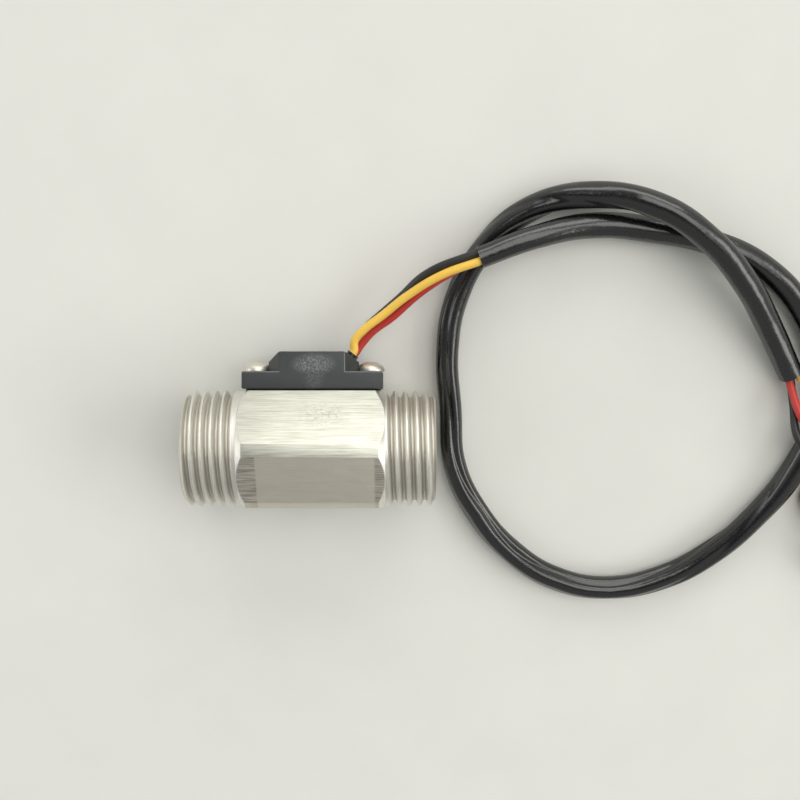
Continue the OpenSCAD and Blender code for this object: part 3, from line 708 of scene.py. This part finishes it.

# %% [markdown]
# ## The plug
#
# The lead ends in a white wire housing with three chambers. It is moulded nylon with soft
# edges.

# %% Plug housing with three chambers
length, width, height = PLUG_SIZE
plug = block((0, -width / 2, 0), (length, width / 2, height))
modify(plug, "BEVEL", width=0.25 * MM, segments=3, limit_method="ANGLE")
for lane in (-1, 0, 1):
    y = lane * PLUG_PITCH
    cut(plug, block((-1, y - 0.95, height / 2 - 0.95), (length + 1, y + 0.95, height / 2 + 0.95)))
keep_place(plug, "plug_housing")
plug.data.transform(Matrix.Translation(PLUG_AT * MM) @ Matrix.Rotation(PLUG_TURN, 4, "Z"))
only(plug)
bpy.ops.object.shade_smooth_by_angle(angle=math.radians(30))
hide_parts("connector_housing")
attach(plug, "housing")
print("faces of the plug:", len(plug.data.polygons))
for colour in FAR_ROUTES:
    wire = wires[f"{colour}_far_wire"]

# %% [markdown]
# ## Finish of the steel
#
# Stainless steel, worked in three ways. The flats are brushed along the bar: thousands of fine
# lines run along the pipe and spread every reflection across them. The corners, cones and threads
# are turned, so their lines run round the pipe. The lower front flat has a frosted panel, with
# deeper scratches left beside it. One picture for all of it would have to be painted. Masks from
# the body's own sizes need no painting: each says, from 0 to 1, how far a point belongs to one of
# these places.

# %% Where the steel is worked in which way
PANEL_X, PANEL_HALF = 0.85, 10.4
WORN_X, WORN_Y = 2.2, 6.2


def steel_places(tree):
    """Masks for the steel's differently worked places, and for the painted shade in the thread's
    roots.
    """
    place = body_frame(tree)
    axes = add(tree, "SeparateXYZ", {"Vector": place})
    x, y, z = axes.outputs
    across = add(tree, "VectorMath", {0: place, 1: (0, 1, 1)}, operation="MULTIPLY")
    radius = add(tree, "VectorMath", {0: across}, operation="LENGTH")
    along = add(tree, "Math", {0: x}, operation="ABSOLUTE")
    # Threads and collars lie past the hexagon, and a cone is where length and radius add up
    ends = add(tree, "MapRange", {0: along, 1: foot - 0.05, 2: foot + 0.05})
    slanted = add(tree, "Math", {0: radius, 1: SLANT}, operation="MULTIPLY")
    cone = add(tree, "Math", {0: along, 1: slanted}, operation="ADD")
    cone_at = shoulder + CORNER_R * SLANT
    turned = add(tree, "Math", {
        0: ends, 1: add(tree, "MapRange", {0: cone, 1: cone_at - 0.12, 2: cone_at - 0.04}),
    }, operation="MAXIMUM")
    # The thread's roots and lower flanks, where painted shade darkens the groove
    root_shade = add(tree, "Math", {
        0: ends, 1: add(tree, "MapRange", {0: radius, 1: 9.4, 2: 10.2, 3: 1, 4: 0}),
    }, operation="MULTIPLY")
    # The lower front flat, and the frosted panel on it
    low_flat = add(tree, "Math", {
        0: add(tree, "MapRange", {0: y, 1: -1.3, 2: -1.0, 3: 1, 4: 0}),
        1: add(tree, "MapRange", {0: z, 1: 4.6, 2: 5.2}),
    }, operation="MULTIPLY")
    frosted = add(tree, "Math", {
        0: low_flat, 1: near(tree, x, PANEL_X, PANEL_HALF),
    }, operation="MULTIPLY")
    bare_low = add(tree, "Math", {0: low_flat, 1: frosted}, operation="SUBTRACT")
    # A worn, mottled place in the middle of the upper flat
    worn = add(tree, "Math", {
        0: near(tree, x, WORN_X, 3.4, 1.6), 1: near(tree, y, WORN_Y, 1.6, 1.1),
    }, operation="MULTIPLY")
    return ends, turned, root_shade, frosted, bare_low, worn


# %% [markdown]
# The brush's real lines are some 0.05 mm wide. They are drawn three times as coarse, because a
# finer line would vanish between the picture's points. They reach the eye in two ways: each line
# is a little lighter or darker, and it is a shallow groove.

# %% Brushed and turned stainless steel


def brushed_stainless():
    """Brushed flats, turned ends, and a frosted panel: bright bands that fine lines break up."""
    made, tree, shader = finish_named("brushed stainless steel", Metallic=1.0)
    ends, turned, root_shade, frosted, bare_low, worn = steel_places(tree)
    fine = grains(tree, (6, 0.15, 0.15), 2.0, 0.6)
    lines = add(tree, "Math", {0: fine, 1: grains(tree, (8, 0.5, 0.5), 3.0, 0.6)}, operation="ADD")
    lathe_lines = grains(tree, (0.14, 5, 5), 2.0, 0.6)
    # Colour of the brushed flats, of the low flat's ends, and of the turned metal
    flat_tone = add(tree, "ValToRGB", {
        0: add(tree, "MapRange", {0: lines, 1: 0.65, 2: 1.35}),
    }, stops=[(0.0, "bdbcb0"), (0.5, "d5d5c9"), (1.0, "e4e4d9")])
    low_tone = add(tree, "ValToRGB", {
        0: add(tree, "MapRange", {0: fine, 1: 0.34, 2: 0.66}),
    }, stops=[(0.0, "a69e90"), (0.4, "cbc5b6"), (1.0, "efebe0")])
    turned_tone = add(tree, "ValToRGB", {
        0: add(tree, "MapRange", {0: lathe_lines, 1: 0.3, 2: 0.7}),
    }, stops=[(0.0, "dedcd4"), (1.0, "f3f1ea")])
    # Deep scratches show on bare brushed metal, and most beside the frosted panel
    smooth = add(tree, "Math", {0: turned, 1: frosted}, operation="MAXIMUM")
    scratch = add(tree, "Math", {
        0: add(tree, "MapRange", {0: grains(tree, (5, 0.16, 0.16), 1.0), 1: 0.42, 2: 0.34}),
        1: add(tree, "MapRange", {0: bare_low, 3: 0.18, 4: 0.5}),
    }, operation="MULTIPLY")
    scratch = add(tree, "Math", {
        0: scratch, 1: add(tree, "Math", {0: 1.0, 1: smooth}, operation="SUBTRACT"),
    }, operation="MULTIPLY")
    speckle = add(tree, "Math", {
        0: worn,
        1: add(tree, "MapRange", {0: grains(tree, (0.7, 0.35, 0.35), 4.0, 0.7), 1: 0.5, 2: 0.62}),
    }, operation="MULTIPLY")
    # Each layer covers the ones before it: a mask, how much of it, and its colour. The darker
    # layer in the thread's roots is painted shade.
    tone = flat_tone
    for mask, share, colour in (
        (bare_low, 1, low_tone), (turned, 1, turned_tone), (frosted, 0.75, "e4ded0"),
        (root_shade, 0.55, "aaa397"), (scratch, 1, "5d574c"), (speckle, 0.6, "9a978b"),
    ):
        factor = add(tree, "Math", {0: mask, 1: share}, operation="MULTIPLY")
        tone = add(tree, "Mix", {"Factor": factor, "A": tone, "B": colour}, data_type="RGBA")
    rough = add(tree, "MapRange", {
        0: grains(tree, (2.2, 1.3, 1.3), 5.0, 0.65), 1: 0.3, 2: 0.7, 3: 0.38, 4: 0.48,
    })
    for mask, share in ((frosted, 0.08), (ends, 0.05)):
        more = add(tree, "Math", {0: mask, 1: share}, operation="MULTIPLY")
        rough = add(tree, "Math", {0: rough, 1: more}, operation="ADD")
    brushed = add(tree, "Math", {
        0: lines, 1: add(tree, "MapRange", {0: frosted, 3: 1, 4: 0.3}),
    }, operation="MULTIPLY")
    height = add(tree, "Mix", {"Factor": turned, "A": brushed, "B": lathe_lines})
    connect(tree, shader, {
        "Base Color": tone, "Roughness": rough,
        "Normal": add(tree, "Bump", {"Height": height, "Distance": 0.022 * MM}),
    })
    return made


# %% [markdown]
# ## Finish of the plastics and the small metal pieces
#
# A moulded plastic copies its mould: the colour is even, and a fine grain softens the highlights.
# PVC leaves the extruder glossy, with slow waves. The small metal pieces are turned, stamped or
# plated, and keep faint marks of it. All of these differ in the same few ways, so one function
# with three patterns serves them. A real mould's grain is under 0.1 mm, and is drawn coarser so
# that it shows.

# %% One even material with a cloud of colour, a change of gloss and a grain


def even_finish(name, code, patterns, shades, spread, depth_mm, **sockets):
    """An even colour with slight changes, from three patterns of (grain in mm, detail).

    The first makes the colour darker and lighter by the two shades. The second is spread from a
    range of its own, the first two numbers, to a range of roughness. The third is the relief.
    """
    made, tree, shader = finish_named(name, **sockets)
    cloud, gloss, relief = (grains(tree, *pattern) for pattern in patterns)
    dark, light = ([c * share for c in linear(code)[:3]] + [1] for share in shades)
    connect(tree, shader, {
        "Base Color": add(tree, "Mix", {
            "Factor": cloud, "A": dark, "B": light,
        }, data_type="RGBA"),
        "Roughness": add(tree, "MapRange", {
            0: gloss, 1: spread[0], 2: spread[1], 3: spread[2], 4: spread[3],
        }),
        "Normal": add(tree, "Bump", {"Height": relief, "Distance": depth_mm * MM}),
    })
    return made


def moulded(name, code, rough, grain_mm, depth_mm, coat=0.0):
    """A moulded plastic: even colour with a faint cloud, and highlights that the grain softens."""
    grain = ((grain_mm,) * 3, 3.0)
    return even_finish(
        name, code, (((5, 5, 5), 4.0), grain, grain), (0.9, 1.1),
        (0.3, 0.7, rough - 0.06, rough + 0.06), depth_mm, Coat_Weight=coat,
    )


def extruded_pvc(name, code, rough, wave_mm, depth_mm, gloss=0.5):
    """Soft PVC: long highlights that slow waves bend, and a little dust that dulls them."""
    dust = ((0.25,) * 3, 4.0)
    return even_finish(
        name, code, (dust, dust, ((wave_mm,) * 3, 2.0)), (0.88, 1.12),
        (0.3, 0.75, rough - 0.05, rough + 0.1), depth_mm, Specular_IOR_Level=gloss,
    )


def worked_metal(name, code, rough, line_mm):
    """A small turned, stamped or plated metal piece: bright, with faint working marks."""
    marks = (line_mm, 3.0)
    return even_finish(
        name, code, (marks, marks, marks), (0.85, 1),
        (0.3, 0.7, rough - 0.05, rough + 0.08), 0.008, Metallic=1.0,
    )


# %% [markdown]
# ## Finish of the cap
#
# The cap is dark grey nylon that has been handled. Its front is scuffed pale under the top edge,
# in a cloud of fine specks that thins out to a point below. A thin painted highlight runs along the
# boss's right edge and the flange's top edge beside the boss. Both are masks from the cap's own
# sizes, as on the steel.

# %% The cap's places and its finish
CAP_TONES = ("2f3334", "393d3e")
SCUFFS = (((0.3, 15.2), (0.25, 0.52), 1), ((0.4, 13.2), (0.5, 0.34), 0.35))


def cap_places(tree, specks):
    """Masks for the cap's scuffed front and for the painted highlights along its edges."""
    place = body_frame(tree)
    x, y, z = add(tree, "SeparateXYZ", {"Vector": place}).outputs
    front = add(tree, "MapRange", {0: z, 1: CAP_W / 2 - 0.5, 2: CAP_W / 2 - 0.3})
    clouds = []
    for middle, shares, strength in SCUFFS:
        off = add(tree, "VectorMath", {0: place, 1: (*middle, CAP_W / 2)}, operation="SUBTRACT")
        shape = add(tree, "VectorMath", {0: off, 1: (*shares, 0)}, operation="MULTIPLY")
        away = add(tree, "VectorMath", {0: shape}, operation="LENGTH")
        inside = add(tree, "MapRange", {0: away, 1: 0.45, 2: 1.1, 3: 1, 4: 0})
        clouds.append(add(tree, "Math", {0: inside, 1: strength}, operation="MULTIPLY"))
    pale = add(tree, "Math", {0: clouds[0], 1: clouds[1]}, operation="MAXIMUM")
    # Painted highlights: thin lighter lines along the boss's right edge and the flange's top edge
    side_edge_highlight = add(tree, "Math", {
        0: near(tree, x, HIP_TOP_X - 0.05, 0.07, 0.05),
        1: add(tree, "MapRange", {0: y, 1: FLANGE_Y - 0.05, 2: FLANGE_Y + 0.05}),
    }, operation="MULTIPLY")
    aside = add(tree, "Math", {0: x}, operation="ABSOLUTE")
    top_edge_highlight = add(tree, "Math", {
        0: near(tree, y, FLANGE_Y - 0.12, 0.08, 0.06),
        1: add(tree, "MapRange", {0: aside, 1: 5.6, 2: 5.9}),
    }, operation="MULTIPLY")
    edge_highlights = add(tree, "Math", {0: side_edge_highlight, 1: top_edge_highlight}, operation="MAXIMUM")
    masks = []
    for mask, low, high, least, most in ((pale, 0.47, 0.6, 0.1, 1), (edge_highlights, 0.3, 0.6, 0.35, 0.9)):
        seen = add(tree, "Math", {0: mask, 1: front}, operation="MULTIPLY")
        broken = add(tree, "MapRange", {0: specks, 1: low, 2: high, 3: least, 4: most})
        masks.append(add(tree, "Math", {0: seen, 1: broken}, operation="MULTIPLY"))
    return masks


def scuffed_cap():
    """Dark grey nylon: a dull sheen, a pale speckled scuff on its front, and painted highlights on
    its edges.
    """
    made, tree, shader = finish_named("moulded dark grey nylon")
    specks = grains(tree, (0.17, 0.17, 0.17), 2.0, 0.7)
    scuff, edge_highlights = cap_places(tree, specks)
    tone = add(tree, "Mix", {
        "Factor": grains(tree, (5, 5, 5), 4.0), "A": CAP_TONES[0], "B": CAP_TONES[1],
    }, data_type="RGBA")
    # The pale scuff is worn nylon, and the lighter edge lines are painted highlights
    for mask, share, colour in ((scuff, 0.42, "b9bcba"), (edge_highlights, 0.7, "9a9d9a")):
        factor = add(tree, "Math", {0: mask, 1: share}, operation="MULTIPLY")
        tone = add(tree, "Mix", {"Factor": factor, "A": tone, "B": colour}, data_type="RGBA")
    grain = add(tree, "Math", {
        0: grains(tree, (0.16,) * 3, 3.0),
        1: add(tree, "Math", {0: scuff, 1: 1.5}, operation="MULTIPLY"),
    }, operation="ADD")
    connect(tree, shader, {
        "Base Color": tone,
        "Roughness": add(tree, "MapRange", {0: specks, 1: 0.3, 2: 0.7, 3: 0.46, 4: 0.56}),
        "Normal": add(tree, "Bump", {"Height": grain, "Distance": 0.006 * MM}),
    })
    return made


# %% [markdown]
# ## Every piece gets its finish
#
# The solid model's record names a slot of material for each piece, and a new piece names its own.
# So one table of finishes serves the pieces that came with the frame and the new ones. The hex
# colours were matched to the photo, where it shows the piece, and to the usual material
# elsewhere.

# %% Every finish by its slot
FINISHES = {
    "stainless": brushed_stainless(),
    "natural_plastic": moulded("moulded acetal", "ece9e0", 0.42, 0.3, 0.004),
    "bush_plastic": moulded("moulded bearing plastic", "a9482f", 0.35, 0.2, 0.003),
    "shaft_steel": worked_metal("ground steel shaft", "d8d9da", 0.18, (0.1, 3, 3)),
    "magnet": worked_metal("nickel plated magnet", "a3a5a8", 0.22, (0.4, 0.4, 0.4)),
    "spring_steel": worked_metal("phosphated spring steel", "6f7275", 0.38, (0.3, 0.3, 0.3)),
    "black_rubber": moulded("moulded rubber", "1c1c1b", 0.75, 0.12, 0.008),
    "cap_plastic": scuffed_cap(),
    "board_green": moulded("solder resist on glass board", "2c6a3b", 0.3, 0.4, 0.004, 0.3),
    "black_epoxy": moulded("cast black epoxy", "141414", 0.2, 0.9, 0.03),
    "chip_tan": moulded("fired ceramic", "b39563", 0.5, 0.1, 0.002),
    "chip_black": moulded("glazed resistor film", "1a1a1b", 0.35, 0.1, 0.002),
    "screw_steel": worked_metal("zinc plated steel screw", "e9e6da", 0.42, (0.25, 0.25, 0.25)),
    "yellow_pvc": extruded_pvc("extruded yellow pvc", "f5c856", 0.38, 1.6, 0.03),
    "red_pvc": extruded_pvc("extruded red pvc", "c23832", 0.38, 1.6, 0.03),
    "black_pvc": extruded_pvc("extruded black pvc", "2a2b2b", 0.35, 1.6, 0.03),
    "sleeve_pvc": extruded_pvc("glossy black pvc sleeve", "0a0c0b", 0.21, 3.5, 0.12, 0.95),
    "plug_plastic": moulded("moulded white nylon", "eae8df", 0.45, 0.25, 0.004),
    "tinned_contact": worked_metal("tinned stamped contact", "cdc9bd", 0.25, (0.2, 0.2, 0.2)),
}
print("finishes:", len(FINISHES))

# %% Paint every piece with the finish of its slot
SLOT_OF = {row["node"]: row["material_slot"] for row in frame["record"]["subparts"]}
for node, piece in frame["nodes"].items():
    piece.data.materials.clear()
    piece.data.materials.append(FINISHES[SLOT_OF[node]])
NEW_PIECES = {
    body: "stainless", cap: "cap_plastic", sleeve: "sleeve_pvc", plug: "plug_plastic",
    **{screw: "screw_steel" for screw in screws},
    **{wire: name.split("_")[0] + "_pvc" for name, wire in wires.items()},
}
for piece, slot in NEW_PIECES.items():
    piece.data.materials.clear()
    piece.data.materials.append(FINISHES[slot])

# %% [markdown]
# ## Table and light
#
# The photo shows a plain off-white table in soft light from beyond the picture's top and from its
# right, so the gentle shadows lie below and to the left of each piece. A metal shows what
# surrounds it: the upper flat shows a bright, low panel beyond the top of the picture, and the
# lower flat shows the dim part of the room, above the table, where the camera hangs.

# %% The table
bpy.ops.object.select_all(action="DESELECT")
bpy.ops.mesh.primitive_plane_add(size=6, location=(0, 0, 0))
table = keep_place(bpy.context.object, "table")
paint, tree, shader = finish_named("matt white table", Roughness=0.9, Specular_IOR_Level=0.1)
speck = add(tree, "TexNoise", {
    "Vector": add(tree, "TexCoord").outputs["Object"], "Scale": 60.0, "Detail": 4.0,
})
tone = add(tree, "ValToRGB", {0: speck}, stops=[(0.3, "e6e6e0"), (0.7, "e9e9e3")])
connect(tree, shader, {"Base Color": tone})
table.data.materials.append(paint)

# %% The lamps


LAMP_AIM = Vector((0.03, 0, 0))


def panel(name, at, size, power, tint="ffffff"):
    """A soft rectangular lamp at a place in metres, turned to the sensor."""
    data = bpy.data.lights.new(name, "AREA")
    data.shape = "RECTANGLE"
    data.size, data.size_y = size
    data.energy = power
    data.color = linear(tint)[:3]
    lamp = bpy.data.objects.new(name, data)
    bpy.context.scene.collection.objects.link(lamp)
    lamp.location = at
    lamp.rotation_euler = (LAMP_AIM - Vector(at)).to_track_quat("-Z", "Y").to_euler()
    return lamp


WARM_WHITE = "fffefa"
panel("window", (0.35, 1.95, 0.87), (2.2, 0.8), 14.0, WARM_WHITE)
panel("right", (1.75, 0.0, 1.15), (1.8, 0.8), 14.8, WARM_WHITE)
panel("high", (0.5, 1.0, 1.95), (2.0, 1.4), 21.0, WARM_WHITE)
panel("left", (-1.9, 0.2, 0.7), (1.6, 0.7), 6.5)

# %% The room: brighter on the window's side, dark above, where the camera hangs
world = bpy.data.worlds.new("room")
bpy.context.scene.world = world
world.use_nodes = True
tree = world.node_tree
way = add(tree, "TexCoord").outputs["Generated"]
towards_window = add(tree, "SeparateXYZ", {"Vector": way}).outputs[1]
above = add(tree, "VectorMath", {
    0: way, 1: (0, math.sin(LEAN), math.cos(LEAN)),
}, operation="DOT_PRODUCT")
level = add(tree, "Math", {
    0: add(tree, "MapRange", {0: towards_window, 1: -0.7, 2: 0.8, 3: 0.42, 4: 0.66}),
    1: add(tree, "MapRange", {0: above, 1: 0.72, 2: 0.93, 3: 1, 4: 0.1}),
}, operation="MULTIPLY")
connect(tree, tree.nodes["Background"], {"Color": "f4f4f2", "Strength": level})
bpy.context.scene.view_settings.view_transform = "Standard"

# %% Update the scene and finish
bpy.context.view_layer.update()
